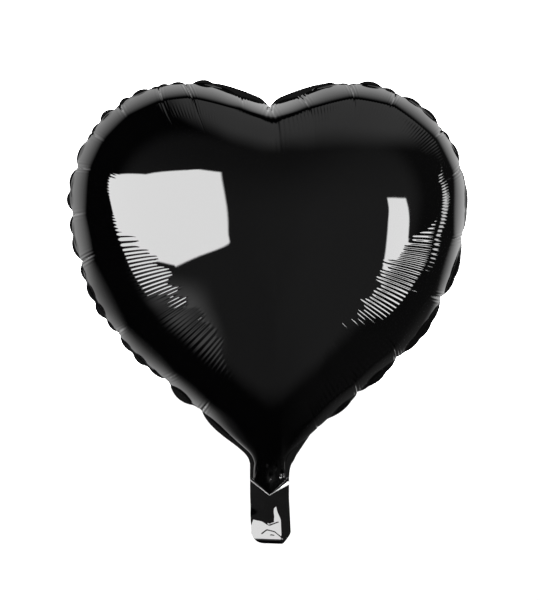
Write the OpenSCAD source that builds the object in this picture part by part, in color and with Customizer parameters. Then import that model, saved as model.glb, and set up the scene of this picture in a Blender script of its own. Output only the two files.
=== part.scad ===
// Heart-shaped foil balloon, inflated, with a self-sealing film valve in its filling tail.
// Millimetres. +Z is up, the front face looks along -Y, and the origin is the tip of the
// V-shaped neck weld, where the balloon is tied and the flat tail begins.

/* [Envelope] */
// Largest half width of the inflated heart, without its scallops
half_width = 182; // [170:1:195]
// Height of the widest place above the tip
widest_z = 272; // [265:1:280]
// Radius of each upper lobe
lobe_r = 107; // [96:1:108]
// Slope of the straight edges that run down from the lobes to the cleft
cleft_slope = 19; // [12:1:22]
// Radius of the long curve from the widest place to the lower side
side_r = 200; // [190:1:210]
// Angle between the straight lower side and the vertical
side_slope = 49; // [46:1:50]
// Depth of the front or rear dome at its middle
dome_depth = 92; // [70:1:100]

/* [Scallops] */
// How far the seam waves forwards and backwards
seam_wave = 3; // [0:0.5:4]
// How far each crease pulls the seam inwards
crease_depth = 3; // [0:0.5:4]

/* [Neck and tail] */
// Width of the neck and of the tail
neck_w = 36; // [32:1:40]
// Height of the neck weld's two shoulders above its tip
shoulder_z = 13; // [12:0.5:18]
// Distance from the tip down to the fold line
fold_z = 3.3; // [3.2:0.1:4]
// Length of the tail below the tip
tail_length = 45; // [42:1:60]
// Radius of the tail's two end corners
tail_corner_r = 11; // [6:1:14]
// Radius of the filling hole in the rear ply of the tail
inlet_r = 5; // [4:0.5:6]
// Distance from the tip down to the filling hole
inlet_z = 29; // [28:1:32]

/* [Films] */
// Thickness of each foil ply
foil_t = 0.25; // [0.2:0.05:0.25]
// Thickness of each clear valve ply
valve_t = 0.14; // [0.1:0.01:0.14]
// Width of the heat-welded bands
weld_w = 3; // [2:0.5:4]
// Width of the valve
valve_w = 24; // [20:1:26]
// How far the valve reaches up into the envelope
valve_top_z = 100; // [80:1:110]
// How far the valve's mouth lies below the tip
valve_mouth_z = 22; // [18:1:22]

/* [Hidden] */

$fn = 64;
FRONT = -1;
REAR = 1;
foil_black = [0.04, 0.04, 0.045];
film_clear = [0.80, 0.84, 0.88, 0.5];
coating_grey = [0.62, 0.64, 0.66];

half_gap = 0.3;                   // from the seam plane to the inner face of a foil ply
slip = 0.01;                     // room between two films that lie on each other
fold_gap = 4.8;                  // room along Z for the tail to turn at the fold line
wave_steps = 4;                  // outline points in one wave of the seam
dome_rings = 8;                  // rings of points from the middle of a dome to the seam
middle_z = 200;                  // height of the middle of each dome
neck_blend_z = 150;              // below this height the domes get flatter towards the neck
fillet_r = 18;                   // radius where the lower side turns into the neck
valve_gap = 0.08;               // from the seam plane to the inner face of a valve ply
valve_weld_w = 2;                // width of the valve's two side welds
coating_t = 0.06;                // thickness of the printed release coating
coating_top_z = 32;              // top of the coating, above the V-shaped weld
tail_edge = neck_w / 2;          // from the middle to the side edge of the neck and the tail
neck_x = tail_edge - weld_w;     // from the middle to the inner edge of the neck's side weld
neck_end_z = -fold_z + fold_gap / 2;
tail_start_z = -fold_z - fold_gap / 2;

// ---- Outline of the seam: its right half from the cleft to the tip, as [x, z] points ----

function arc(centre, r, from, to, count) =
    [for (k = [0 : count - 1])
        let (a = from + (to - from) * k / count) centre + r * [cos(a), sin(a)]];

function line(a, b, count) = [for (k = [0 : count - 1]) a + (b - a) * k / count];

lobe_centre = [half_width - lobe_r, widest_z];
side_centre = [half_width - side_r, widest_z];
lobe_end = lobe_centre + lobe_r * [-sin(cleft_slope), cos(cleft_slope)];
cleft = [0, lobe_end[1] - lobe_end[0] * tan(cleft_slope)];
side_end = side_centre + side_r * [cos(-side_slope), sin(-side_slope)];
// The fillet touches the straight lower side and the neck's vertical edge.
fillet_x = neck_x + fillet_r;
side_inner = [-cos(side_slope), sin(side_slope)];
fillet_z = side_end[1] - fillet_r / sin(side_slope)
    - (side_end[0] - fillet_x) / tan(side_slope);
fillet_centre = [fillet_x, fillet_z];
fillet_start = fillet_centre + fillet_r * side_inner;

right_half = concat(
    line(cleft, lobe_end, 4),
    arc(lobe_centre, lobe_r, 90 + cleft_slope, 0, 24),
    arc(side_centre, side_r, 0, -side_slope, 20),
    line(side_end, fillet_start, 12),
    arc(fillet_centre, fillet_r, 180 - side_slope, 180, 4),
    line([neck_x, fillet_z], [neck_x, shoulder_z], 4),
    line([neck_x, shoulder_z], [0, 0], 4));
half_count = len(right_half);
count = 2 * half_count;
v_points = 4;                    // outline points on each arm of the neck weld
flat_points = v_points + 8;      // points each side of the tip where the seam doesn't wave

plain_outline = [for (i = [0 : count - 1])
    i < half_count ? right_half[i]
    : i == half_count ? [0, 0]
    : let (p = right_half[count - i]) [-p[0], p[1]]];

function unit(v) = v / norm(v);
function outward(i) =
    let (a = plain_outline[(i + count - 1) % count], b = plain_outline[(i + 1) % count],
         t = unit(b - a)) [-t[1], t[0]];
function from_tip(i) = abs(i - half_count);
function waves(i) = min(1, max(0, (from_tip(i) - flat_points) / wave_steps));
function seam_y(i) = seam_wave * waves(i) * sin(360 * i / wave_steps);
function crease(i) = crease_depth * waves(i) * (1 + cos(720 * i / wave_steps)) / 2;

seam = [for (i = [0 : count - 1]) plain_outline[i] - crease(i) * outward(i)];
// Along the V each panel runs on down to the fold line, as one film with the neck.
flange = [for (i = [0 : count - 1])
    from_tip(i) <= v_points ? [seam[i][0] * tail_edge / neck_x, neck_end_z]
    : seam[i] + weld_w * outward(i)];

// ---- Domes ----

middle = [0, middle_z];
function share(j) = sin(90 * pow(j / dome_rings, 0.9));
function taper(z) = pow(min(1, max(0, z / neck_blend_z)), 0.9);
function bulge(f, z) = dome_depth * pow(1 - pow(f, 2.4), 0.6) * taper(z);

// Point i of ring j on the outer face of the dome on one side. Ring dome_rings is the seam
// and the ring after it is the edge of the flange.
function dome_point(side, i, j) =
    let (f = share(min(j, dome_rings)),
         p = j > dome_rings ? flange[i] : middle + (seam[i] - middle) * f,
         y = side * (half_gap + foil_t + bulge(f, p[1])) + seam_y(i) * pow(f, 8))
    [p[0], y, p[1]];

function dome_normal(side, i, j) =
    j >= dome_rings ? [0, side, 0]
    : let (a = dome_point(side, (i + count - 1) % count, j),
           b = dome_point(side, (i + 1) % count, j),
           c = dome_point(side, i, j + 1),
           d = dome_point(side, i, max(1, j - 1)),
           n = unit(cross(b - a, c - d)))
      n * sign(n[1] * side);

function ring_faces(start, j, flip) = [for (i = [0 : count - 1])
    let (a = start + j * count + i, b = start + j * count + (i + 1) % count,
         c = a + count, d = b + count)
    each flip ? [[a, c, b], [b, c, d]] : [[a, b, c], [b, d, c]]];

module dome(side) {
    rings = dome_rings + 1;
    outer = [for (j = [1 : rings], i = [0 : count - 1]) dome_point(side, i, j)];
    inner = [for (j = [1 : rings], i = [0 : count - 1])
        dome_point(side, i, j) - foil_t * dome_normal(side, i, j)];
    top_y = side * (half_gap + foil_t + bulge(0, middle_z));
    poles = [[0, top_y, middle_z], [0, top_y - side * foil_t, middle_z]];
    n = rings * count;
    flip = side == FRONT;
    faces = concat(
        [for (j = [0 : rings - 2]) each ring_faces(0, j, flip)],
        [for (j = [0 : rings - 2]) each ring_faces(n, j, !flip)],
        [for (i = [0 : count - 1]) let (k = (i + 1) % count)
            flip ? [2 * n, i, k] : [2 * n, k, i]],
        [for (i = [0 : count - 1]) let (k = (i + 1) % count)
            flip ? [2 * n + 1, n + k, n + i] : [2 * n + 1, n + i, n + k]],
        [for (i = [0 : count - 1])
            let (k = (i + 1) % count, e = (rings - 1) * count)
            each flip ? [[e + i, n + e + i, e + k], [e + k, n + e + i, n + e + k]]
                      : [[e + i, e + k, n + e + i], [e + k, n + e + k, n + e + i]]]);
    polyhedron(concat(outer, inner, poles), faces, convexity = 6);
}

module front_panel() {
    color(foil_black) dome(FRONT);
}

module rear_panel() {
    color(foil_black) dome(REAR);
}

// ---- Welds of the envelope ----

// The band where the two panels are fused, all round the heart but for the neck.
module perimeter_weld() {
    first = -(half_count - v_points - 1);
    last = half_count - v_points - 1;
    h = half_gap - slip;
    sections = [for (k = [first : last])
        let (i = (k + count) % count, y = seam_y(i), a = seam[i], b = flange[i])
        [[a[0], y - h, a[1]], [b[0], y - h, b[1]], [b[0], y + h, b[1]], [a[0], y + h, a[1]]]];
    n = len(sections);
    faces = concat(
        [[0, 1, 2, 3]],
        [for (s = [0 : n - 2], c = [0 : 3])
            let (a = 4 * s + c, b = 4 * s + (c + 1) % 4)
            each c < 2 ? [[a, a + 4, b], [b, a + 4, b + 4]]
                       : [[a, a + 4, b + 4], [a, b + 4, b]]],
        [[4 * n - 1, 4 * n - 2, 4 * n - 3, 4 * n - 4]]);
    color(foil_black) polyhedron([for (s = sections) each s], faces, convexity = 10);
}

// A flat piece parallel to the seam plane, from y0 to y1: the children are its [x, z] outline.
module flat(y0, y1) {
    translate([0, y1, 0]) rotate([90, 0, 0]) linear_extrude(y1 - y0) children();
}

module strip(width, z0, z1) {
    translate([-width / 2, z0]) square([width, z1 - z0]);
}

module edge_strips(width, strip_w, z0, z1) {
    for (x = [-width / 2, width / 2 - strip_w])
        translate([x, z0]) square([strip_w, z1 - z0]);
}

// The V-shaped weld that closes the heart's tip on the valve, and the neck's two side welds.
module neck_weld() {
    h = half_gap - slip;
    slot_w = valve_w + 2 * slip;
    slot_h = valve_gap + valve_t + slip;
    color(foil_black) difference() {
        flat(-h, h) {
            polygon([[-neck_x, shoulder_z], [0, 0], [neck_x, shoulder_z],
                     [neck_x, shoulder_z - weld_w], [0, neck_end_z],
                     [-neck_x, shoulder_z - weld_w]]);
            edge_strips(neck_w, weld_w, neck_end_z, shoulder_z);
        }
        translate([-slot_w / 2, -slot_h, -neck_w]) cube([slot_w, 2 * slot_h, 2 * neck_w]);
    }
}

// ---- Valve: two clear plies, welded along their sides, from z0 up to z1 ----

module valve_ply(side, z0, z1) {
    y0 = side == FRONT ? -valve_gap - valve_t : valve_gap;
    color(film_clear) flat(y0, y0 + valve_t) strip(valve_w, z0, z1);
}

module valve_welds(z0, z1) {
    color(film_clear) flat(-valve_gap, valve_gap) edge_strips(valve_w, valve_weld_w, z0, z1);
}

// The coating keeps the two plies from fusing where the V-shaped weld crosses them.
module valve_release_coating() {
    color(coating_grey) flat(valve_gap - coating_t, valve_gap)
        strip(valve_w - 2 * valve_weld_w - 2 * slip, neck_end_z, coating_top_z);
}

// ---- Tail: a flat pocket with a welded rim, and the filling hole in its rear ply ----

module tail_outline(inset) {
    w = tail_edge - inset;
    r = tail_corner_r - inset;
    end_z = -tail_length + inset;
    polygon(concat(
        [[w, tail_start_z]],
        [for (a = [0 : 15 : 90]) [w - r, end_z + r] + r * [cos(a), -sin(a)]],
        [for (a = [90 : 15 : 180]) [-w + r, end_z + r] + r * [cos(a), -sin(a)]],
        [[-w, tail_start_z]]));
}

module tail_front_ply() {
    color(foil_black) flat(-half_gap - foil_t, -half_gap) tail_outline(0);
}

module tail_rear_ply() {
    color(foil_black) difference() {
        flat(half_gap, half_gap + foil_t) tail_outline(0);
        translate([0, half_gap + 2 * foil_t, -inlet_z]) rotate([90, 0, 0])
            cylinder(r = inlet_r, h = 3 * foil_t);
    }
}

module tail_rim_weld() {
    h = half_gap - slip;
    color(foil_black) difference() {
        flat(-h, h) tail_outline(0);
        flat(-2 * h, 2 * h) {
            tail_outline(weld_w);
            strip(2 * neck_x, tail_start_z - weld_w, tail_start_z + weld_w);
        }
    }
}

front_panel();
rear_panel();
perimeter_weld();
neck_weld();
valve_ply(FRONT, neck_end_z, valve_top_z);  // valve_front_ply
valve_ply(REAR, neck_end_z, valve_top_z);  // valve_rear_ply
valve_release_coating();
valve_welds(neck_end_z, valve_top_z);  // valve_side_welds
tail_front_ply();
tail_rear_ply();
tail_rim_weld();
valve_ply(FRONT, -valve_mouth_z, tail_start_z);  // tail_valve_front_ply
valve_ply(REAR, -valve_mouth_z, tail_start_z);  // tail_valve_rear_ply
valve_welds(-valve_mouth_z, tail_start_z);  // tail_valve_side_welds
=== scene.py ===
"""Looks of a heart-shaped foil balloon: two inflated foil panels with a scalloped, comb-wrinkled
rim, the welded seam, and the crumpled filling tail with its film valve, around the CAD frame."""

import math

import bmesh
import bpy
import numpy as np
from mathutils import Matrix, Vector
from mathutils.geometry import delaunay_2d_cdt


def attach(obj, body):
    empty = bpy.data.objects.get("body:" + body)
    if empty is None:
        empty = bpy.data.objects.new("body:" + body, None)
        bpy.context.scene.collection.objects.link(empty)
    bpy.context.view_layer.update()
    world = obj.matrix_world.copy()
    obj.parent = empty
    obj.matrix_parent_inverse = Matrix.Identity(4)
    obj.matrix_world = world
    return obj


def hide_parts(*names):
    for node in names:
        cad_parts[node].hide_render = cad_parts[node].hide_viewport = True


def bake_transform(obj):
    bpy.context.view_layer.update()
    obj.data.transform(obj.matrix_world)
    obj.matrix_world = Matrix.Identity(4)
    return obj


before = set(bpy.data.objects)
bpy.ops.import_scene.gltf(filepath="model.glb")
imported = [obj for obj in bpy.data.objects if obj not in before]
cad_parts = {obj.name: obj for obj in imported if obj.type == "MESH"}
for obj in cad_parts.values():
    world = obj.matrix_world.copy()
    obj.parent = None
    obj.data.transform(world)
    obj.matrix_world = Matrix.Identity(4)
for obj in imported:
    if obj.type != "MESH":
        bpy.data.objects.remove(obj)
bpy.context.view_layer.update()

MM = 0.001
FRONT, REAR = -1, 1
rng = np.random.default_rng(18)

# ---- Sizes, in millimetres, as in the CAD design ----

HALF_WIDTH = 182.0
WIDEST_Z = 272.0
LOBE_R = 107.0
CLEFT_SLOPE = 19.0
SIDE_R = 200.0
SIDE_SLOPE = 49.0
FILLET_R = 18.0
WELD_W = 3.0
TAIL_EDGE = 18.0
NECK_X = TAIL_EDGE - WELD_W
SHOULDER_Z = 13.0
DOME_DEPTH = 92.0
MIDDLE_Z = 215.0
PLY_Y = 0.15
NECK_WELD_END = math.hypot(NECK_X, SHOULDER_Z)

# ---- Lines and noise ----


def arc(centre, radius, start, end, count):
    t = np.radians(np.linspace(start, end, count, endpoint=False))
    return np.array(centre) + radius * np.stack([np.cos(t), np.sin(t)], 1)


def line(a, b, count):
    t = np.linspace(0, 1, count, endpoint=False)[:, None]
    return np.array(a) * (1 - t) + np.array(b) * t


def smoothstep(low, high, x):
    t = np.clip((x - low) / (high - low), 0, 1)
    return t * t * (3 - 2 * t)


def smooth_loop(values, sigma):
    """Gaussian smoothing of values round a closed loop. sigma is in samples."""
    k = np.fft.fftfreq(len(values))
    weight = np.exp(-2 * (np.pi * k * sigma) ** 2).reshape(-1, *([1] * (values.ndim - 1)))
    return np.real(np.fft.ifft(np.fft.fft(values, axis=0) * weight, axis=0))


def smooth_rows(values, sigma):
    """Gaussian smoothing down the rows of a grid. The first row stays where it is."""
    reach = math.ceil(3 * sigma)
    weight = np.exp(-0.5 * (np.arange(-reach, reach + 1) / sigma) ** 2)
    before = 2 * values[:1] - values[reach:0:-1]
    after = values[-2:-reach - 2:-1]
    padded = np.concatenate([before, values, after])
    return sum(w * padded[k:k + len(values)] for k, w in enumerate(weight / weight.sum()))


def loop_noise(count, step, scale):
    """Smooth random values round a loop, about -1 to 1, that change over scale millimetres."""
    raw = smooth_loop(rng.normal(size=count), scale / step / 2)
    return raw / (np.abs(raw).max() * 0.7)


def resample(points, count):
    """The closed line through points, as count points evenly spaced, and its length."""
    closed = np.concatenate([points, points[:1]])
    run = np.r_[0, np.cumsum(np.linalg.norm(np.diff(closed, axis=0), axis=1))]
    s = np.linspace(0, run[-1], count, endpoint=False)
    return np.stack([np.interp(s, run, closed[:, i]) for i in range(2)], 1), run[-1]


# ---- The seam, from the tip up the right side, over the cleft and down the left side ----


def right_half():
    """The seam's right half, from the cleft to the tip, in the XZ plane."""
    lobe = np.array([HALF_WIDTH - LOBE_R, WIDEST_Z])
    side = np.array([HALF_WIDTH - SIDE_R, WIDEST_Z])
    slope, lean = math.radians(CLEFT_SLOPE), math.radians(SIDE_SLOPE)
    lobe_end = lobe + LOBE_R * np.array([-math.sin(slope), math.cos(slope)])
    cleft = np.array([0, lobe_end[1] - lobe_end[0] * math.tan(slope)])
    side_end = side + SIDE_R * np.array([math.cos(lean), -math.sin(lean)])
    fillet_x = NECK_X + FILLET_R
    fillet_z = side_end[1] - FILLET_R / math.sin(lean) - (side_end[0] - fillet_x) / math.tan(lean)
    fillet = np.array([fillet_x, fillet_z])
    fillet_start = fillet + FILLET_R * np.array([-math.cos(lean), math.sin(lean)])
    return np.concatenate([
        line(cleft, lobe_end, 60),
        arc(lobe, LOBE_R, 90 + CLEFT_SLOPE, 0, 200),
        arc(side, SIDE_R, 0, -SIDE_SLOPE, 200),
        line(side_end, fillet_start, 120),
        arc(fillet, FILLET_R, 180 - SIDE_SLOPE, 180, 40),
        line([NECK_X, fillet_z], [NECK_X, SHOULDER_Z], 20),
        line([NECK_X, SHOULDER_Z], [0, 0], 40),
        [[0.0, 0.0]]])


class Seam:
    """The closed seam line, with its inward direction and how far along it each point is."""

    def __init__(self, count, rounding=1.2):
        right = right_half()[::-1]
        left = right[::-1][1:-1] * [-1, 1]
        points, length = resample(np.concatenate([right, left]), 4 * count)
        points = smooth_loop(points, rounding / (length / len(points)))
        self.points, self.length = resample(points, count)
        self.count = count
        self.step = self.length / count
        self.s = np.arange(count) * self.step
        self.from_tip = np.minimum(self.s, self.length - self.s)
        self.inward = self.directions(9.0)
        self.outward = -self.directions(1.5)

    def directions(self, softness):
        along = np.roll(self.points, -1, 0) - np.roll(self.points, 1, 0)
        inward = smooth_loop(np.stack([-along[:, 1], along[:, 0]], 1), softness / self.step)
        return inward / np.linalg.norm(inward, axis=1, keepdims=True)

    def reach(self):
        """How far each line runs square to the seam before it turns towards the middle."""
        across = np.abs(self.points[:, 0])
        lean = np.sign(self.points[:, 0]) * self.inward[:, 0]
        longest = 60 + 30 * smoothstep(290, 235, self.points[:, 1])
        limit = np.where(lean < 0, 0.5 * across / np.maximum(-lean, 0.05), longest)
        soft = smooth_loop(np.minimum(limit, longest), 6.0 / self.step)
        return np.minimum(soft, limit)

    def lines(self, t):
        """Points on every line from the seam (t = 0) to the middle (t = 1), in plan."""
        t = np.asarray(t)
        t = t.reshape(-1, 1, 1) if t.ndim == 1 else t[..., None]
        turn = self.points + self.inward * self.reach()[:, None]
        middle = np.array([0.0, MIDDLE_Z])
        return (1 - t) ** 2 * self.points + 2 * t * (1 - t) * turn + t ** 2 * middle


# ---- The inflated dome over the plan ----


def membrane(seam, rows=44):
    """Height of a soap film blown out over the heart (Poisson's equation, by finite elements and
    conjugate gradients), at rows of points along the seam's lines. Returns t values and heights."""
    t = np.linspace(0, 0.985, rows)
    count = seam.count
    nodes = np.concatenate([seam.lines(t).reshape(-1, 2), [[0.0, MIDDLE_Z]]])
    index = np.arange(rows * count).reshape(rows, count)
    a, b = index[:-1], np.roll(index, -1, 1)[:-1]
    c, d = index[1:], np.roll(index, -1, 1)[1:]
    last = index[-1]
    fan = np.stack([last, np.roll(last, -1), np.full(count, len(nodes) - 1)], -1)
    tris = np.concatenate([np.stack([a, b, c], -1).reshape(-1, 3),
                           np.stack([b, d, c], -1).reshape(-1, 3), fan])
    p = nodes[tris]
    edges = np.stack([p[:, 2] - p[:, 1], p[:, 0] - p[:, 2], p[:, 1] - p[:, 0]], 1)
    area = np.maximum(np.abs(np.cross(edges[:, 0], edges[:, 1])) / 2, 1e-3)
    stiff = np.einsum("nik,njk->nij", edges, edges) / (4 * area[:, None, None])
    load = np.bincount(tris.ravel(), np.repeat(area / 3, 3), len(nodes))
    free = np.ones(len(nodes))
    free[:count] = 0
    diagonal = np.bincount(tris.ravel(), np.einsum("nii->ni", stiff).ravel(), len(nodes))

    def apply(u):
        return np.bincount(tris.ravel(), np.einsum("nij,nj->ni", stiff, u[tris]).ravel(),
                           len(nodes)) * free

    u = np.zeros(len(nodes))
    r = load * free
    z = r / diagonal
    q = z.copy()
    rz = r @ z
    for _ in range(900):
        aq = apply(q)
        step = rz / (q @ aq)
        u += step * q
        r -= step * aq
        z = r / diagonal
        rz, old = r @ z, rz
        if rz < 1e-9:
            break
        q = z + (rz / old) * q
    heights = np.concatenate([u[:-1].reshape(rows, count), np.full((1, count), u[-1])])
    return np.r_[t, 1.0], heights / u.max()


# Places of the panel's rows: in millimetres from the seam, then as shares of the way to the middle
RIM_ROWS = np.concatenate([np.arange(0, 12, 1.2), np.arange(12, 32, 2.5), np.arange(32, 50, 1.2),
                           np.arange(50, 123, 3.0)])
CORE_ROWS = 1 - (1 - np.linspace(0, 1, 23)[1:]) ** 1.1

# How many rows after the rim have half the points, and how many at the middle share one normal
HALF_ROWS = 8
MIDDLE_ROWS = 9

# The rim band: its usual width, its steepness, the dome's slope at the ridge, and the dome's
# height there over the square root of the width, where the band has its full strength
BAND_WIDTH = 14.5
BAND_RISE = 3.0
RIDGE_SLOPE = 1.75
DOME_RIM = 10.86


class Dome:
    """The smooth inflated shape of one panel as rows of points, from the seam to the middle. A
    nearly flat, steep band runs along the seam, and ends in a blunt ridge where the dome begins."""

    def __init__(self, seam, coarse, t_coarse, film, band):
        t = np.linspace(0, 1, 400) ** 2
        ratio = seam.count // coarse.count
        rows = np.stack([np.interp(t, t_coarse, film[:, i]) for i in range(coarse.count)], 1)
        where = np.arange(seam.count) / ratio
        i0 = where.astype(int)
        part = (where - i0)[None]
        height = rows[:, i0] * (1 - part) + rows[:, (i0 + 1) % coarse.count] * part
        height = smooth_loop(height.T, ratio * 1.5).T
        height = DOME_DEPTH * np.sqrt(np.maximum(height, 0))
        plan = seam.lines(t)
        across = np.linalg.norm(plan - seam.points, axis=-1)
        height = smooth_rows(self.with_band(seam, across, height, band), 6)
        space = np.stack([plan[..., 0], height, plan[..., 1]], -1)
        soft = smooth_loop(space.swapaxes(0, 1), 8).swapaxes(0, 1)
        softest = smooth_loop(space.swapaxes(0, 1), 30).swapaxes(0, 1)
        deep = smoothstep(0.1, 0.4, t)[:, None, None]
        deepest = smoothstep(0.5, 0.8, t)[:, None, None]
        space = space * (1 - deep) + soft * (deep - deepest) + softest * deepest
        steps = np.linalg.norm(np.diff(space, axis=0), axis=2)
        run = np.concatenate([np.zeros((1, seam.count)), np.cumsum(steps, axis=0)])
        self.along = np.concatenate([
            np.repeat(RIM_ROWS[:, None], seam.count, 1),
            RIM_ROWS[-1] + (run[-1] - RIM_ROWS[-1])[None] * CORE_ROWS[:, None]])
        self.points = np.empty((*self.along.shape, 3))
        self.across = np.empty(self.along.shape)
        for i in range(seam.count):
            self.across[:, i] = np.interp(self.along[:, i], run[:, i], across[:, i])
            for k in range(3):
                self.points[:, i, k] = np.interp(self.along[:, i], run[:, i], space[:, i, k])
        self.points[-1] = self.points[-1].mean(0)
        middle = smoothstep(105, 125, self.along)
        above_tip = smoothstep(75, 45, seam.from_tip) * smoothstep(25, 45, self.along)
        self.softness = np.maximum(middle, above_tip)

    def with_band(self, seam, across, height, band):
        """Replaces the round edge of the dome by the band, as wide as band says round the seam."""
        columns = range(seam.count)
        at_ridge = np.array([np.interp(band[i], across[:, i], height[:, i]) for i in columns])
        strength = smooth_loop(at_ridge / np.sqrt(band), 8 / seam.step)
        strength /= DOME_RIM
        top = BAND_RISE * strength * np.sqrt(BAND_WIDTH * band)
        steep = 2 * top / band - RIDGE_SLOPE * strength
        curve = (steep * band - top) / band ** 2
        inside = steep * across - curve * across ** 2
        beyond = height + (top - at_ridge) * np.exp(-np.maximum(across - band, 0) / 9)
        fade = neck_fade(seam)
        shaped = np.where(across < band, inside, beyond)
        return height * (1 - fade) + shaped * fade


def grid_normals(points, softness):
    """Unit normals of a grid of rows that close round the loop, pointing towards +Y. Where softness
    is 1, they are smoothed round the loop, because the lines run close together there. The last
    rows turn towards one normal, where all the lines meet."""
    around = np.roll(points, -1, 1) - np.roll(points, 1, 1)
    inwards = np.gradient(points, axis=0)
    normals = np.cross(around, inwards)
    wide = np.roll(points, -12, 1) - np.roll(points, 12, 1)
    soft = smooth_loop(np.cross(wide / 12, inwards).swapaxes(0, 1), 8).swapaxes(0, 1)
    normals += (soft - normals) * softness[..., None]
    normals[-1] = normals[-2].mean(0)
    normals /= np.maximum(np.linalg.norm(normals, axis=2, keepdims=True), 1e-12)
    middle = normals[-MIDDLE_ROWS].mean(0)
    share = smoothstep(0, 1, np.linspace(0, 1, MIDDLE_ROWS))[:, None, None]
    normals[-MIDDLE_ROWS:] += (middle - normals[-MIDDLE_ROWS:]) * share
    normals /= np.linalg.norm(normals, axis=2, keepdims=True)
    return normals


# ---- Rim: pillows between creases, and comb wrinkles square to the seam ----

# Lengths of the front panel's pillows, from the cleft outwards
FRONT_RIGHT = (29, 47, 45, 56, 39, 64, 60, 70, 48, 49)
FRONT_LEFT = (27, 53, 25, 40, 36, 35, 44, 44, 73, 62, 44)


def front_creases(seam):
    cleft = seam.length / 2
    return np.sort(np.r_[cleft - np.cumsum(FRONT_RIGHT), cleft, cleft + np.cumsum(FRONT_LEFT)])


def rear_creases(seam):
    """The rear panel's pillows are shorter, 18 to 25 mm, but for one long one by the neck."""
    start, end = 95.0, seam.length - 112.0
    places = start + np.cumsum(rng.uniform(18, 25, 80))
    return np.r_[places[places < end - 12], end, seam.length - 52.0]


def hump(seam, creases, power=2.4):
    """1 in the middle of each pillow and 0 at the creases round it, and each pillow's length."""
    edges = np.r_[0.0, creases, seam.length]
    k = np.clip(np.searchsorted(edges, seam.s, "right") - 1, 0, len(edges) - 2)
    lengths = edges[k + 1] - edges[k]
    u = (seam.s - edges[k]) / lengths
    return 1 - np.abs(2 * u - 1) ** power, lengths


def band_width(seam, creases):
    """Width of the rim band: its ridge runs straight from crease to crease, so that the band is
    wider in the middle of a long pillow."""
    rise, lengths = hump(seam, creases, 2.0)
    return BAND_WIDTH + 3.2 * (np.minimum(lengths, 70) / 60) ** 2 * rise


def grooves(seam, creases, along, depth, width, reach):
    """Sharp creases: each a groove that fades into the panel, with a small fold beside it."""
    out = np.zeros_like(along)
    for place in creases:
        size = depth * rng.uniform(0.6, 1.25)
        fade = np.exp(-(along / (reach * rng.uniform(0.7, 1.4))) ** 2)
        off = seam.s - place + along * rng.uniform(-0.12, 0.12)
        fold = 0.35 * np.cos(off * 2 * math.pi / rng.uniform(2.8, 3.8)) * np.exp(-(off / 4.5) ** 2)
        out -= size * fade * (np.exp(-np.abs(off) / width) + fold * np.minimum(along / 6, 1))
    return out


def comb(seam, across, band, size, pitch, inner):
    """Fine parallel wrinkles from the band's ridge in to a limit, in plan, that varies round it."""
    count, step = seam.count, seam.step
    cycles = np.cumsum(step / pitch)
    wander = 0.35 * loop_noise(count, step, 14)
    wave = np.sin(2 * math.pi * (cycles + wander))
    power = np.clip(0.85 + 0.35 * loop_noise(count, step, 9), 0.3, 1.15)
    limit = inner * (1 + 0.08 * loop_noise(count, step, 5))
    start = smoothstep(band, band + 14, across)
    end = 1 - smoothstep(limit - 5, limit, across)
    right = smoothstep(-30, 30, seam.points[:, 0])
    ridge = 0.12 * right * np.exp(-((across - band - 5) / 4) ** 2)
    return wave * (size * power * start * end + ridge)


def side_share(seam):
    """1 along the two lower sides, where the wrinkles are longest, and 0 over the top."""
    z = seam.points[:, 1]
    return smoothstep(50, 120, z) * (1 - smoothstep(200, 268, z))


def neck_fade(seam):
    """0 at the neck and the V weld, 1 from the lower sides up."""
    return smoothstep(34, 110, seam.from_tip)


def rim_relief(seam, dome, creases, band, comb_size):
    """How far one panel stands off its smooth dome, along the dome's own normals."""
    along, across = dome.along, dome.across
    fade = neck_fade(seam)
    sides = side_share(seam)
    inner = 35 + 34 * sides
    pitch = 3.3 + 1.7 * smoothstep(0, 0.4, sides)
    relief = grooves(seam, creases, along, 1.7, 1.2, 30)
    relief += grooves(seam, [seam.length / 2], along, 1.6, 0.9, 55)
    relief += comb(seam, across, band, comb_size * (0.3 + 0.7 * sides), pitch, inner)
    relief += 0.25 * loop_noise(seam.count, seam.step, 45) * np.exp(-((along - 60) / 40) ** 2)
    return relief * fade


def seam_pull(seam, front, rear):
    """How far both panels' pillows, and the funnel right of the neck, move the seam inwards, and
    its waves along Y."""
    rise, lengths = hump(seam, front, 2.0)
    low_right = smoothstep(20, 60, seam.points[:, 0]) * smoothstep(260, 200, seam.points[:, 1])
    pull = 1.2 - (2.6 + 2.2 * low_right) * rise * np.minimum(lengths / 50, 1)
    wave = np.zeros(seam.count)
    for places, sign, depth in ((front, FRONT, 1.4), (rear, REAR, 0.5)):
        for place in places:
            bump = np.exp(-np.abs(seam.s - place) / 4)
            pull += depth * bump
            wave += sign * depth * bump
    fade = neck_fade(seam)
    funnel = 4.0 * np.exp(-((seam.s - 85) / 20) ** 2)
    return np.minimum(pull, 3.4) * fade + funnel, wave * fade


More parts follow.
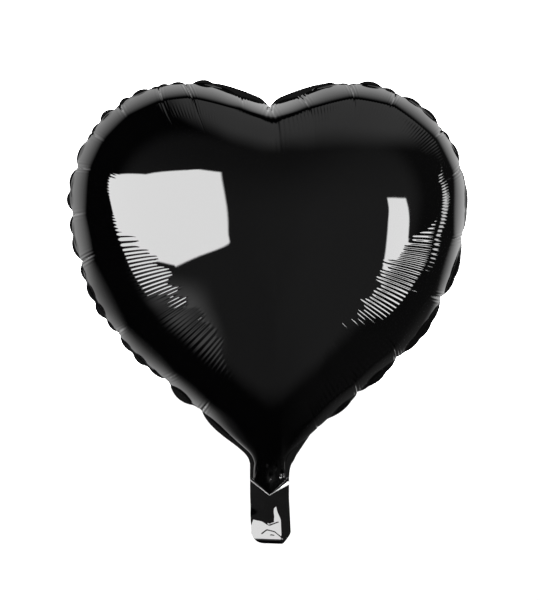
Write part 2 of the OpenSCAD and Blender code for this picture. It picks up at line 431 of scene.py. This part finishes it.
def flange_width(seam, rear, pull):
    """How far the flange stands out: in scallops on the left and over the lobes, in two long
    slivers beside the cleft, narrow down the right side, and in a wide web right of the neck."""
    x, z = seam.points.T
    rise = np.maximum(1.35 * hump(seam, rear, 2.0)[0] - 0.35, 0)
    left = smoothstep(-20, 40, -x)
    lobe = smoothstep(20, 60, x) * smoothstep(285, 320, z)
    right_side = smoothstep(20, 60, x) * smoothstep(190, 215, z) * smoothstep(310, 290, z)
    size = rng.uniform(0.45, 1.15, len(rear) + 1)[np.searchsorted(rear, seam.s, "right")]
    size = np.where(seam.s > seam.length - 113, 1.2, size)
    scallops = rise * size * (0.7 + 2.1 * left + 1.2 * lobe - 0.7 * right_side)
    off = np.abs(seam.s - seam.length / 2)
    sliver = 2.2 * np.clip(np.sin(np.clip(off / 58, 0, 1) * math.pi), 0, 1) ** 0.7
    sliver += np.maximum(pull + 1.4, 0) * smoothstep(0, 12, off)
    near_cleft = 1 - smoothstep(52, 60, off)
    width = scallops * (1 - near_cleft) + sliver * near_cleft
    neck = 1 - neck_fade(seam)
    web = 3.6 * smoothstep(0, 10, x) * np.exp(-((z - 36) / 10) ** 2)
    return 0.4 + width * (1 - neck) + (WELD_W - 0.4) * neck + web


# ---- Crumpled middle surface of the neck and tail ----


class Crumple:
    """Folds of stiff foil: flat facets that meet along straight creases."""

    def __init__(self, count, size, slope):
        angle = rng.uniform(0, math.pi, count)
        self.along = np.stack([np.cos(angle), np.sin(angle)], 1)
        self.offset = rng.uniform(-size, size, count)
        self.slope = rng.normal(0, slope, count)

    def __call__(self, x, z):
        out = np.zeros_like(x, dtype=float)
        for (ax, az), offset, slope in zip(self.along, self.offset, self.slope):
            out += slope * (np.sqrt((ax * x + az * z - offset) ** 2 + 0.04) - abs(offset))
        return out


tail_folds = Crumple(9, 16, 0.008)
neck_folds = Crumple(8, 14, 0.035)
pocket_folds = {FRONT: Crumple(8, 16, 0.06), REAR: Crumple(8, 16, 0.06)}
TAIL_END = 45.0
TAIL_LEAN = 0.04

# Sharp creases in the tail, as corners of lines in X and Z, with their depths
TAIL_CREASES = (
    (0.32, ((-6.5, -24.0), (-2.0, -29.0), (7.0, -25.5))),
    (0.34, ((-8.0, -36.5), (-3.5, -33.0), (3.0, -34.5), (9.5, -40.0))),
    (0.30, ((0.0, -37.5), (2.5, -37.8))),
    (0.16, ((2.5, -14.0), (2.2, -24.0))))

# Dents that fingers left in the neck: X, Z, radius and depth of each
NECK_DENTS = ((10.5, 20.5, 2.4, 3.0), (0.5, 18.0, 1.5, 1.9), (-9.0, 33.0, 2.2, 1.6),
              (-11.0, 27.0, 1.6, 1.2), (4.5, 28.0, 1.6, 1.1), (-3.0, 31.0, 1.5, 1.0))


def ramp(x):
    """0 below 0 and x above it, with a rounded corner."""
    return (x + np.sqrt(x * x + 0.3)) / 2


def distance_to(x, z, a, b):
    """Distance from each point to the straight line between two corners."""
    ax, az = a
    bx, bz = b[0] - ax, b[1] - az
    share = np.clip(((x - ax) * bx + (z - az) * bz) / (bx * bx + bz * bz), 0, 1)
    return np.hypot(x - ax - share * bx, z - az - share * bz)


def tail_creases(x, z):
    out = np.zeros_like(x, dtype=float)
    for depth, corners in TAIL_CREASES:
        near = np.full_like(out, 99.0)
        for a, b in zip(corners, corners[1:]):
            near = np.minimum(near, distance_to(x, z, a, b))
        out += depth * np.exp(-(near / 0.75) ** 2)
    return out


def tail_mid(x, z):
    """Y of the middle between the plies of the neck and tail, in millimetres. The tail is twisted
    to the left below the fold, flat again right of a slanted crease, and bent at its end."""
    turned = smoothstep(6.5, -6.5, z + 10.5 + 5.0 * smoothstep(-2, -9, x))
    crease_x = 6.0 + 3.0 * smoothstep(-13, -24, z)
    twist = -0.33 * (x - ramp(x - crease_x)) * turned
    hang = -0.08 * ramp(-20 - z) + 0.54 * ramp(-TAIL_END + 3.8 - z)
    folds = tail_folds(x, z + 26) * smoothstep(-6, -16, z)
    neck = neck_folds(x, z - 12) * smoothstep(-4, 6, z) * (1 - smoothstep(22, 48, z))
    return twist + hang + folds + tail_creases(x, z) + neck


def neck_dents(x, z):
    """How deep the film of the neck is pressed in at each point."""
    return sum(depth * np.exp(-((x - dent_x) ** 2 + (z - dent_z) ** 2) / radius ** 2)
               for dent_x, dent_z, radius, depth in NECK_DENTS)


def leaning(x, z):
    """X of a point of the tail, which hangs a little to the right."""
    return x - TAIL_LEAN * np.minimum(z, 0)


def tail_side(side, x, z, gap):
    """Y of one ply: gap from the middle, and blown out a little inside the welded rim."""
    inside = smoothstep(0, 5, TAIL_EDGE - WELD_W - np.abs(x))
    inside = inside * smoothstep(-TAIL_END + WELD_W, -TAIL_END + WELD_W + 6, z)
    inside = inside * (1 - smoothstep(-14, -2, z))
    puff = np.abs(pocket_folds[side](x, z + 24)) * inside * (0.06 if side == FRONT else 1.0)
    return tail_mid(x, z) + side * (gap + puff)


# ---- Meshes ----


def new_object(name, mesh):
    obj = bpy.data.objects.new(name, mesh)
    bpy.context.scene.collection.objects.link(obj)
    return obj


def loop_rows(start, count, rows):
    """Faces of a band of rows that close round the loop. start is the first row's first point."""
    i = np.arange(count)
    k = (i + 1) % count
    faces = []
    for j in range(rows):
        a = start + j * count
        faces.append(np.stack([a + i, a + k, a + count + k, a + count + i], 1))
    return np.concatenate(faces)


def halving(fine_start, coarse_start, coarse):
    """Triangles between a row and the next one with half as many points."""
    i = np.arange(coarse)
    k = (i + 1) % coarse
    f0, f1, f2 = fine_start + 2 * i, fine_start + 2 * i + 1, fine_start + 2 * k
    c0, c1 = coarse_start + i, coarse_start + k
    return np.concatenate([np.stack(t, 1) for t in ((f0, f1, c0), (f1, f2, c1), (f1, c1, c0))])


def panel_mesh(name, seam, points, softness, flange, side):
    """One foil panel: its flange outside the seam, and its rows from the seam to the middle,
    with fewer points a row where the rows get short."""
    normals = grid_normals(points, softness)
    normals *= np.sign(normals[-1, 0, 1]) * side
    rim, n = len(RIM_ROWS), seam.count
    blocks = [(points[:rim], normals[:rim], n),
              (points[rim:rim + HALF_ROWS, ::2], normals[rim:rim + HALF_ROWS, ::2], n // 2),
              (points[rim + HALF_ROWS:-1, ::4], normals[rim + HALF_ROWS:-1, ::4], n // 4)]
    coords, vectors, faces, start = [], [], [], 0
    for k, (block, vecs, count) in enumerate(blocks):
        if k:
            faces += halving(start - 2 * count, start, count).tolist()
        faces += loop_rows(start, count, len(block) - 1).tolist()
        coords.append(block.reshape(-1, 3))
        vectors.append(vecs.reshape(-1, 3))
        start += block.shape[0] * count
    ring = start - n // 4 + np.arange(n // 4)
    faces += np.stack([ring, np.roll(ring, -1), np.full(n // 4, start)], 1).tolist()
    coords.append(points[-1, :1])
    vectors.append(normals[-1, :1])
    start += 1
    shown = np.nonzero(seam.from_tip > NECK_WELD_END)[0]
    edge = shown
    film_corners = sum(len(f) for f in faces)
    for row in flange:
        new = start + np.arange(len(shown))
        faces += np.stack([edge[1:], edge[:-1], new[:-1], new[1:]], 1).tolist()
        coords.append(row[shown])
        edge, start = new, start + len(shown)
    coords, vectors = np.concatenate(coords), np.concatenate(vectors)
    if side == REAR:
        faces = [f[::-1] for f in faces]
    mesh = bpy.data.meshes.new(name)
    mesh.from_pydata((coords * MM).tolist(), [], faces)
    mesh.shade_smooth()
    corners = np.concatenate([np.asarray(f) for f in faces])
    at_corners = np.tile([0.0, side, 0.0], (len(corners), 1))
    at_corners[:film_corners] = vectors[corners[:film_corners]]
    mesh.normals_split_custom_set(at_corners.tolist())
    return new_object(name, mesh)


FLANGE_ROWS = (0.33, 0.67, 1.0)


def flange_rows(seam, edge, width):
    """Rows of the flange's middle, outwards from the seam. The film ripples along its edge."""
    ripple = 0.2 * loop_noise(seam.count, seam.step, 3)
    rows = []
    for share in FLANGE_ROWS:
        row = edge.copy()
        row[:, [0, 2]] += seam.outward * (width * share)[:, None]
        row[:, 1] += ripple * share
        rows.append(row)
    return rows


def panel_points(seam, dome, relief, pull, wave, side):
    """The dome's rows with their relief, joined to the shared seam line over the first rows."""
    base = dome.points * [1, side, 1]
    normals = grid_normals(base, dome.softness)
    normals *= np.sign(normals[-1, 0, 1]) * side
    moved = base + normals * relief[..., None]
    inwards = np.stack([seam.inward[:, 0], np.zeros(seam.count), seam.inward[:, 1]], 1)
    free = smoothstep(0, 5, dome.along)[..., None]
    shared = base + inwards * pull[:, None]
    points = shared * (1 - free) + moved * free
    points[..., 1] += side * PLY_Y + wave * np.exp(-dome.along / 9)
    low = smoothstep(16, 2, np.abs(base[..., 1]))
    points[..., 1] += tail_mid(points[..., 0], points[..., 2]) * low
    dents = np.minimum(neck_dents(points[..., 0], points[..., 2]), 0.6 * np.abs(base[..., 1]))
    points[..., 1] -= side * dents
    points[-1] = points[-1].mean(0)
    return points


def build_envelope():
    """Both panels and the fused band between their flanges."""
    coarse = Seam(360)
    t, film = membrane(coarse)
    seam = Seam(1440)
    front, rear = front_creases(seam), rear_creases(seam)
    pull, wave = seam_pull(seam, front, rear)
    flange = None
    pieces = {}
    for name, side, creases, comb_size in (
            ("front_foil_panel", FRONT, front, 0.17), ("rear_foil_panel", REAR, rear, 0.15)):
        band = band_width(seam, creases)
        dome = Dome(seam, coarse, t, film, band)
        relief = rim_relief(seam, dome, creases, band, comb_size)
        points = panel_points(seam, dome, relief, pull, wave, side)
        offset = np.array([0, side * PLY_Y, 0])
        if flange is None:
            flange = flange_rows(seam, points[0] - offset, flange_width(seam, rear, pull))
        rows = [row + offset for row in flange]
        pieces[name] = panel_mesh(name, seam, points, dome.softness, rows, side)
    pieces["seam_weld"] = weld_band(seam, flange)
    return pieces


def weld_band(seam, flange):
    """The fused band between the two flanges: a thin closed strip just wider than they are."""
    shown = np.nonzero(seam.from_tip > NECK_WELD_END)[0]
    lip = np.stack([seam.outward[:, 0], np.zeros(seam.count), seam.outward[:, 1]], 1) * 0.06
    inner, outer = flange[0][shown], (flange[-1] + lip)[shown]
    half = np.array([0, PLY_Y - 0.04, 0])
    rings = np.stack([inner - half, outer - half, outer + half, inner + half], 1)
    return strip_of_rings("seam_weld", rings)


def strip_of_rings(name, rings):
    """A closed solid from a row of rings of points, capped at both ends."""
    count, corners = rings.shape[:2]
    i = np.arange(count - 1)[:, None] * corners
    c = np.arange(corners)[None]
    k = (c + 1) % corners
    faces = np.stack([i + c, i + corners + c, i + corners + k, i + k], -1).reshape(-1, 4).tolist()
    faces.append(list(range(corners)))
    faces.append([(count - 1) * corners + j for j in reversed(range(corners))])
    mesh = bpy.data.meshes.new(name)
    mesh.from_pydata((rings.reshape(-1, 3) * MM).tolist(), [], faces)
    face_outwards(mesh)
    mesh.shade_smooth()
    mesh.set_sharp_from_angle(angle=math.radians(40))
    return new_object(name, mesh)


def face_outwards(mesh):
    work = bmesh.new()
    work.from_mesh(mesh)
    bmesh.ops.recalc_face_normals(work, faces=work.faces)
    work.to_mesh(mesh)
    work.free()


# ---- Neck and tail films ----


def tail_outline():
    """The tail's edge from its V-shaped top round its end, in the XZ plane. The corner on the
    right is cut off by the fold there."""
    corner = 11.0
    low = -TAIL_END + corner
    top = SHOULDER_Z * TAIL_EDGE / NECK_X + 0.9
    return np.concatenate([
        line([-TAIL_EDGE, top], [0, 0.9], 24),
        line([0, 0.9], [TAIL_EDGE, top], 24),
        line([TAIL_EDGE, top], [TAIL_EDGE, low], 60),
        line([TAIL_EDGE, low], [TAIL_EDGE - 1.0, low - 2.5], 6),
        line([TAIL_EDGE - 1.0, low - 2.5], [TAIL_EDGE - 7.0, -TAIL_END + 0.8], 16),
        line([TAIL_EDGE - 7.0, -TAIL_END + 0.8], [TAIL_EDGE - 8.5, -TAIL_END], 4),
        line([TAIL_EDGE - 8.5, -TAIL_END], [-TAIL_EDGE + corner, -TAIL_END], 18),
        arc([-TAIL_EDGE + corner, low], corner, -90, -180, 22),
        line([-TAIL_EDGE, low], [-TAIL_EDGE, top], 60)])


def filled(outline, spacing, holes=()):
    """Points and faces that fill an outline. Without holes the faces are even triangles. With
    holes there is one face with the outline's corners, in which the holes aren't open, and the
    grid's points stay unused."""
    low, high = outline.min(0), outline.max(0)
    grid = []
    for k, z in enumerate(np.arange(low[1], high[1], spacing * 0.866)):
        x = np.arange(low[0] + (k % 2) * spacing / 2, high[0], spacing)
        grid.append(np.stack([x, np.full_like(x, z)], 1))
    edges, start = [], 0
    for loop in (outline, *holes):
        i = np.arange(len(loop))
        edges += np.stack([start + i, start + (i + 1) % len(loop)], 1).tolist()
        start += len(loop)
    points = np.concatenate([outline, *holes, np.concatenate(grid)])
    out = delaunay_2d_cdt([Vector(p) for p in points], edges, [], 3 if holes else 1, 1e-5)
    return np.array([v[:] for v in out[0]]), [list(f) for f in out[2]]


def film_solid(name, plan, faces, front_y, back_y):
    """A closed thin film over a plan mesh, between two surfaces given as Y at each point."""
    n = len(plan)
    x = leaning(plan[:, 0], plan[:, 1])
    front = np.stack([x, front_y, plan[:, 1]], 1)
    back = np.stack([x, back_y, plan[:, 1]], 1)
    edges = {edge: None for f in faces for edge in zip(f, f[1:] + f[:1])}
    rim = [(a, b) for a, b in edges if (b, a) not in edges]
    solid = [list(f) for f in faces] + [[i + n for i in reversed(f)] for f in faces]
    solid += [[b, a, a + n, b + n] for a, b in rim]
    mesh = bpy.data.meshes.new(name)
    mesh.from_pydata((np.concatenate([front, back]) * MM).tolist(), [], solid)
    mesh.validate()
    mesh.shade_smooth()
    obj = new_object(name, mesh)
    mesh.set_sharp_from_angle(angle=math.radians(50))
    return obj


INLET = (0.0, -29.0, 5.0)
FILM_T = 0.12
TAIL_GAP = 0.25


def tail_ply(name, side):
    """One foil ply of the tail, from the V weld down. The rear ply is given the filling hole, but
    filled() leaves it closed."""
    x, z, radius = INLET
    holes = [] if side == FRONT else [arc([x, z], radius, 360, 0, 64)]
    plan, faces = filled(tail_outline(), 0.7, holes)
    if side == REAR:
        faces = [f for f in faces
                 if np.hypot(*(plan[f].mean(0) - [x, z])) > radius * 0.999]
    inner = tail_side(side, plan[:, 0], plan[:, 1], TAIL_GAP)
    outer = tail_side(side, plan[:, 0], plan[:, 1], TAIL_GAP + FILM_T)
    front, back = (outer, inner) if side == FRONT else (inner, outer)
    return film_solid(name, plan, faces, front, back)


def tail_rim(name):
    """The welded rim of the tail: a band along both sides and round the end, between the plies."""
    outline = tail_outline()[48:]
    inwards = np.stack([-np.gradient(outline[:, 1]), np.gradient(outline[:, 0])], 1)
    inwards *= -1 / np.linalg.norm(inwards, axis=1, keepdims=True)
    rings = []
    for (x, z), (nx, nz) in zip(outline, inwards):
        ring = []
        for depth, side in ((0.0, FRONT), (WELD_W, FRONT), (WELD_W, REAR), (0.0, REAR)):
            px, pz = x + nx * depth, z + nz * depth
            y = tail_side(side, np.array(px), np.array(pz), TAIL_GAP - 0.02)
            ring.append([leaning(px, pz), float(y), pz])
        rings.append(ring)
    return strip_of_rings(name, np.array(rings))


def v_weld(name, side):
    """The raised, bright line of the V-shaped weld. The right arm widens towards the edge."""
    left, right = np.array([-TAIL_EDGE, SHOULDER_Z + 1.2]), np.array([TAIL_EDGE, SHOULDER_Z - 1.6])
    tip = np.array([0.0, -0.2])
    middle = np.concatenate([line(left, tip, 26), line(tip, right, 26), [right]])
    along = np.gradient(middle, axis=0)
    along = smooth_open(along / np.linalg.norm(along, axis=1, keepdims=True), 1)
    up = np.stack([-along[:, 1], along[:, 0]], 1)
    up /= np.linalg.norm(up, axis=1, keepdims=True)
    half = 0.36 + 0.012 * np.abs(middle[:, 0]) + 0.05 * np.sin(np.arange(len(middle)) * 0.9)
    half += 0.85 * smoothstep(5, TAIL_EDGE, middle[:, 0])
    rings = []
    for p, u, h in zip(middle, up, half):
        ring = []
        for across, rise in ((-1, 0.0), (-0.6, 0.2), (0.6, 0.28), (1, 0.0), (0, -0.1)):
            px, pz = p + u * h * across
            y = tail_mid(np.array(px), np.array(pz)) + side * (TAIL_GAP + FILM_T + rise)
            ring.append([px, float(y), pz])
        rings.append(ring)
    return strip_of_rings(name, np.array(rings))


def smooth_open(values, passes):
    for _ in range(passes):
        values[1:-1] = (values[:-2] + 2 * values[1:-1] + values[2:]) / 4
    return values


VALVE_HALF_W = 12.0
VALVE_TOP, VALVE_MOUTH = 100.0, -22.0


def valve_film(name, x0, x1, z0, z1, y0, y1):
    """A piece of the valve's clear film: a fine grid between two distances from the middle."""
    xs = np.linspace(x0, x1, max(3, round((x1 - x0) / 1.5) + 1))
    zs = np.linspace(z0, z1, max(3, round((z1 - z0) / 1.5) + 1))
    plan = np.stack(np.meshgrid(xs, zs), -1).reshape(-1, 2)
    faces = [[r * len(xs) + c, r * len(xs) + c + 1, (r + 1) * len(xs) + c + 1, (r + 1) * len(xs) + c]
             for r in range(len(zs) - 1) for c in range(len(xs) - 1)]
    loose = smoothstep(30, VALVE_TOP, plan[:, 1])
    x, z = plan.T
    wave = 2.0 * loose * np.sin(z / 11) + 0.6 * loose * np.sin(x / 4 + z / 17)
    middle = tail_mid(x, z) + wave
    return film_solid(name, plan, faces, middle + y0, middle + y1)


def build_valve():
    """The valve inside the neck: two plies, the side welds and the coating between them."""
    w, weld, coating = VALVE_HALF_W, 2.0, 2.2
    low, high = VALVE_MOUTH, VALVE_TOP
    sizes = {
        "valve_front_film": (-w, w, low, high, -0.2, -0.08),
        "valve_rear_film": (-w, w, low, high, 0.08, 0.2),
        "valve_coating": (-w + coating, w - coating, -0.9, 32, 0.02, 0.07),
        "valve_left_weld": (-w, -w + weld, low, high, -0.07, 0.07),
        "valve_right_weld": (w - weld, w, low, high, -0.07, 0.07)}
    return {name: valve_film(name, *size) for name, size in sizes.items()}


# ---- Materials ----


class Shader:
    """A node material, with short calls for the nodes it needs."""

    def __init__(self, name, **values):
        self.material = bpy.data.materials.new(name)
        self.material.use_nodes = True
        self.tree = self.material.node_tree
        self.surface = self.tree.nodes["Principled BSDF"]
        for socket, value in values.items():
            self.surface.inputs[socket.replace("_", " ")].default_value = value

    def node(self, kind, **inputs):
        node = self.tree.nodes.new(kind)
        for socket, value in inputs.items():
            self.feed(node, socket.replace("_", " "), value)
        return node

    def feed(self, node, socket, value):
        if isinstance(value, bpy.types.NodeSocket):
            self.tree.links.new(value, node.inputs[socket])
        else:
            node.inputs[socket].default_value = value

    def noise(self, scale, detail=3.0):
        place = self.node("ShaderNodeTexCoord").outputs["Object"]
        noise = self.node("ShaderNodeTexNoise", Vector=place, Scale=scale, Detail=detail)
        return noise.outputs["Fac"]

    def range(self, value, low, high, to_low, to_high):
        node = self.node("ShaderNodeMapRange")
        for socket, given in zip(range(5), (value, low, high, to_low, to_high)):
            self.feed(node, socket, given)
        return node.outputs[0]

    def bump(self, height, distance, strength=1.0, normal=None):
        node = self.node("ShaderNodeBump", Height=height, Distance=distance, Strength=strength)
        if normal is not None:
            self.feed(node, "Normal", normal)
        return node.outputs["Normal"]

    def set(self, **values):
        for socket, value in values.items():
            self.feed(self.surface, socket.replace("_", " "), value)


FOIL_BLACK = (0.0004, 0.0004, 0.00045, 1.0)


def black_foil():
    """Black lacquer over metallised film: a deep, almost mirror-smooth gloss, with faint rolling
    marks and a little haze where the film was handled."""
    shader = Shader("black_foil", Base_Color=FOIL_BLACK, Metallic=0.0, IOR=1.55, Roughness=0.03)
    haze = shader.noise(16.0, 4.0)
    shader.set(Roughness=shader.range(haze, 0.35, 0.75, 0.012, 0.04))
    grain = shader.noise(900.0, 2.0)
    marks = shader.noise(70.0, 3.0)
    shader.set(Normal=shader.bump(grain, 0.000004, 0.3, shader.bump(marks, 0.00002, 0.25)))
    return shader.material


def sealed_foil():
    """The heat-sealed rim: the same film with the seal bar's fine cross-hatch pressed into it."""
    shader = Shader("sealed_foil", Base_Color=(0.006, 0.006, 0.0065, 1), Metallic=0.0, IOR=1.55,
                    Roughness=0.22)
    place = shader.node("ShaderNodeTexCoord").outputs["Object"]
    turned = shader.node("ShaderNodeMapping", Vector=place, Rotation=(0, math.radians(45), 0)).outputs[0]
    hatch = shader.node("ShaderNodeTexChecker", Vector=turned, Scale=1400.0).outputs["Fac"]
    mottle = shader.noise(240.0)
    shader.set(Roughness=shader.range(mottle, 0.3, 0.7, 0.16, 0.32),
               Normal=shader.bump(hatch, 0.00004, 0.6))
    return shader.material


def weld_line():
    """The V weld, with a painted highlight: a pale grey base colour, mottled and lighter towards the
    right arm, stands in for the bright reflection along the weld's raised line.
    """
    shader = Shader("painted_highlight_weld", Base_Color=(0.62, 0.62, 0.63, 1), Metallic=0.35, Roughness=0.38)
    mottle = shader.noise(900.0, 4.0)
    place = shader.node("ShaderNodeTexCoord").outputs["Object"]
    across = shader.node("ShaderNodeSeparateXYZ", Vector=place).outputs["X"]
    # Painted highlight: the base colour grows lighter towards +X, along the right arm, where the weld's
    # reflection is brightest.
    darkest = shader.range(across, 0.0, 0.008, 0.14, 0.42)
    lightest = shader.range(across, 0.0, 0.008, 0.32, 0.72)
    tone = shader.range(mottle, 0.3, 0.7, darkest, lightest)
    tint = shader.node("ShaderNodeCombineColor", Red=tone, Green=tone, Blue=tone).outputs[0]
    shader.set(Base_Color=tint, Normal=shader.bump(shader.noise(1500.0), 0.00008, 0.6))
    return shader.material


def clear_film():
    """Clear, slightly milky polyethylene of the valve."""
    shader = Shader("clear_film", Base_Color=(0.86, 0.88, 0.88, 1), Roughness=0.18, IOR=1.5,
                    Transmission_Weight=0.75)
    shader.set(Roughness=shader.range(shader.noise(60.0), 0.3, 0.7, 0.14, 0.3),
               Normal=shader.bump(shader.noise(300.0, 2.0), 0.00002, 0.4))
    return shader.material


def printed_coating():
    """The heat-proof coating printed between the valve plies, in fine dots."""
    shader = Shader("release_coating", Base_Color=(0.7, 0.72, 0.74, 1), Roughness=0.6)
    place = shader.node("ShaderNodeTexCoord").outputs["Object"]
    dots = shader.node("ShaderNodeTexVoronoi", Vector=place, Scale=900.0, Randomness=0.0)
    tone = shader.range(dots.outputs["Distance"], 0.25, 0.45, 0.55, 0.82)
    tint = shader.node("ShaderNodeCombineColor", Red=tone, Green=tone, Blue=tone).outputs[0]
    shader.set(Base_Color=tint, Roughness=shader.range(shader.noise(120.0), 0.3, 0.7, 0.5, 0.7))
    return shader.material


def pale_floor():
    """White paper, a little brighter than the studio lights it, as if lit from below."""
    shader = Shader("pale_floor", Roughness=0.9, Emission_Color=(1, 1, 1, 1), Emission_Strength=0.34)
    tone = shader.range(shader.noise(0.7), 0.3, 0.7, 0.93, 0.95)
    tint = shader.node("ShaderNodeCombineColor", Red=tone, Green=tone, Blue=tone).outputs[0]
    shader.set(Base_Color=tint)
    return shader.material


# ---- Studio: world, floor and camera ----


def direction(azimuth, elevation):
    """Unit vector. Azimuth 0 points to the camera's side, -Y, and grows towards +X, in degrees."""
    az, el = math.radians(azimuth), math.radians(elevation)
    return Vector((math.sin(az) * math.cos(el), -math.cos(az) * math.cos(el), math.sin(el)))


# Softboxes as the directions of their corners, clockwise from the upper left
LEFT_SOFTBOX = (((-67, 19.5), (-34, 26), (-33, -12.4), (-62, -12)),
                ((-42, 25), (-8.4, 34.5), (-10.2, 0.5), (-34, -13)))
RIGHT_SOFTBOX = (((40.5, 15), (50, 13), (60, -14), (47, -16)),
                 ((47, -7), (76, -9), (72, -20), (50, -18)))
RIGHT_KICKER = (((79, 14), (83, 14), (83, -6), (79, -6)),)
LOW_LEFT_GLOW = (((-60, -22), (-26, -20), (-30, -40), (-54, -42)),)
REAR_SOFTBOX = (((170, 10), (190, 10), (190, -10), (170, -10)),)
SOFTBOX_GLOW = 14.5
BACKDROP_GLOW = 1.0
FRONT_GLOW = 0.16
CEILING_GLOW = 0.55


class Studio:
    """The world's light as a function of direction: what the glossy film reflects."""

    def __init__(self):
        world = bpy.data.worlds.new("studio")
        bpy.context.scene.world = world
        world.use_nodes = True
        self.tree = world.node_tree
        self.sky = self.tree.nodes.new("ShaderNodeTexCoord").outputs["Generated"]
        self.background = self.tree.nodes["Background"]
        self.background.inputs["Color"].default_value = (1, 1, 1, 1)

    def math(self, kind, a, b):
        node = self.tree.nodes.new("ShaderNodeMath")
        node.operation = kind
        for k, value in enumerate((a, b)):
            if isinstance(value, bpy.types.NodeSocket):
                self.tree.links.new(value, node.inputs[k])
            else:
                node.inputs[k].default_value = value
        return node.outputs[0]

    def side(self, towards, low, high, glow=1.0):
        """Rises smoothly from 0 to glow as the direction's share along towards goes low to high."""
        dot = self.tree.nodes.new("ShaderNodeVectorMath")
        dot.operation = "DOT_PRODUCT"
        dot.inputs[1].default_value = towards
        self.tree.links.new(self.sky, dot.inputs[0])
        ramp = self.tree.nodes.new("ShaderNodeMapRange")
        ramp.interpolation_type = "SMOOTHSTEP"
        self.tree.links.new(dot.outputs["Value"], ramp.inputs[0])
        for k, value in enumerate((low, high, 0.0, glow)):
            ramp.inputs[k + 1].default_value = value
        return ramp.outputs[0]

    def softbox(self, parts, glow, soft=0.008):
        """A light whose parts are four-cornered, with an edge that blurs over soft radians."""
        shape = 0.0
        for corners in parts:
            part = glow
            for a, b in zip(corners, corners[1:] + corners[:1]):
                edge = direction(*b).cross(direction(*a)).normalized()
                part = self.math("MULTIPLY", self.side(edge, -soft, soft), part)
            shape = self.math("MAXIMUM", part, shape)
        return shape

    def show(self, lights):
        total = lights[0]
        for light in lights[1:]:
            total = self.math("ADD", total, light)
        seen = self.tree.nodes.new("ShaderNodeLightPath").outputs["Is Camera Ray"]
        total = self.math("MAXIMUM", total, self.math("MULTIPLY", seen, 1.0))
        self.tree.links.new(total, self.background.inputs["Strength"])


def build_studio():
    studio = Studio()
    back = studio.side((0, 1, 0), 0.3, 0.95, BACKDROP_GLOW)
    low = studio.side((0, 0, -1), 0.08, 0.3)
    left = studio.side((-0.6, 0, -0.8), 0.35, 0.8, 0.9)
    right = studio.side((0.6, 0, -0.8), 0.05, 0.42, 0.95)
    dim = studio.math("MULTIPLY", low, studio.math("MAXIMUM", left, right))
    back = studio.math("MULTIPLY", back, studio.math("SUBTRACT", 1.0, dim))
    front = studio.side((0, -1, 0), 0.42, 0.62, FRONT_GLOW)
    shade = studio.side((0, 0, 1), 0.2, 0.8, 0.5)
    front = studio.math("MULTIPLY", front, studio.math("SUBTRACT", 1.0, shade))
    flank = studio.side((1, -0.4, 0), 0.3, 0.7, 0.05)
    ceiling = studio.side((0.35, 0, 0.94), 0.77, 0.93, CEILING_GLOW)
    ceiling = studio.math("MULTIPLY", ceiling, studio.side((0, -1, 0), -0.12, -0.04))
    studio.show([back, front, flank, ceiling,
                 studio.softbox(LEFT_SOFTBOX, SOFTBOX_GLOW),
                 studio.softbox(RIGHT_SOFTBOX, SOFTBOX_GLOW),
                 studio.softbox(RIGHT_KICKER, 9.0, 0.01),
                 studio.softbox(LOW_LEFT_GLOW, 0.9, 0.12),
                 studio.softbox(REAR_SOFTBOX, 3.0, 0.05)])


def build_floor():
    half, drop = 12.0, -0.75
    mesh = bpy.data.meshes.new("floor")
    corners = ((-half, -half), (half, -half), (half, half), (-half, half))
    mesh.from_pydata([(x, y, drop) for x, y in corners], [], [(0, 1, 2, 3)])
    floor = new_object("floor", mesh)
    floor.data.materials.append(pale_floor())
    floor.visible_glossy = False


def build_camera():
    """A long lens, a little to the balloon's left and above its middle."""
    distance, view_height = 2.2, 0.552
    data = bpy.data.cameras.new("camera")
    data.sensor_fit = "VERTICAL"
    data.sensor_height = 24.0
    data.lens = 24.0 * distance / view_height
    camera = bpy.data.objects.new("camera", data)
    bpy.context.scene.collection.objects.link(camera)
    target = Vector((0.0005, 0.0, 0.180))
    towards = direction(-4.0, 2.0)
    camera.location = target + towards * distance
    camera.rotation_euler = towards.to_track_quat("Z", "Y").to_euler()
    bpy.context.scene.camera = camera


# ---- Assembly ----


def finish_piece(piece, material, nodes, body):
    """Gives a piece its material and slot, attaches it to its body (pieces of the fold only get their
    transform baked), and hides the CAD nodes that it stands for.
    """
    piece.data.materials.append(material)
    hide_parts(*nodes)
    if body == "fold":
        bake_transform(piece)
    else:
        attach(piece, body)


def assemble():
    foil, sealed, painted_highlight = black_foil(), sealed_foil(), weld_line()
    film, coating = clear_film(), printed_coating()
    panels = build_envelope()
    finish_piece(panels["front_foil_panel"], foil, ["front_panel"], "envelope")
    finish_piece(panels["rear_foil_panel"], foil, ["rear_panel"], "envelope")
    finish_piece(panels["seam_weld"], sealed, ["perimeter_weld"], "envelope")
    for side, name in ((FRONT, "front"), (REAR, "rear")):
        weld = v_weld(f"neck_weld_{name}", side)
        finish_piece(weld, painted_highlight, ["neck_weld"], "envelope")
        ply = tail_ply(f"tail_{name}_film", side)
        finish_piece(ply, foil, [f"tail_{name}_ply"], "fold")
    finish_piece(tail_rim("tail_rim"), sealed, ["tail_rim_weld"], "fold")
    valve_nodes = {
        "valve_front_film": ["valve_front_ply", "tail_valve_front_ply"],
        "valve_rear_film": ["valve_rear_ply", "tail_valve_rear_ply"],
        "valve_coating": ["valve_release_coating"],
        "valve_left_weld": ["valve_side_welds", "tail_valve_side_welds"],
        "valve_right_weld": ["valve_side_welds", "tail_valve_side_welds"]}
    for name, piece in build_valve().items():
        if name == "valve_coating":
            finish_piece(piece, coating, valve_nodes[name], "envelope")
        else:
            finish_piece(piece, film, valve_nodes[name], "fold")


build_camera()
build_studio()
build_floor()
assemble()
bpy.context.scene.view_settings.view_transform = "Standard"
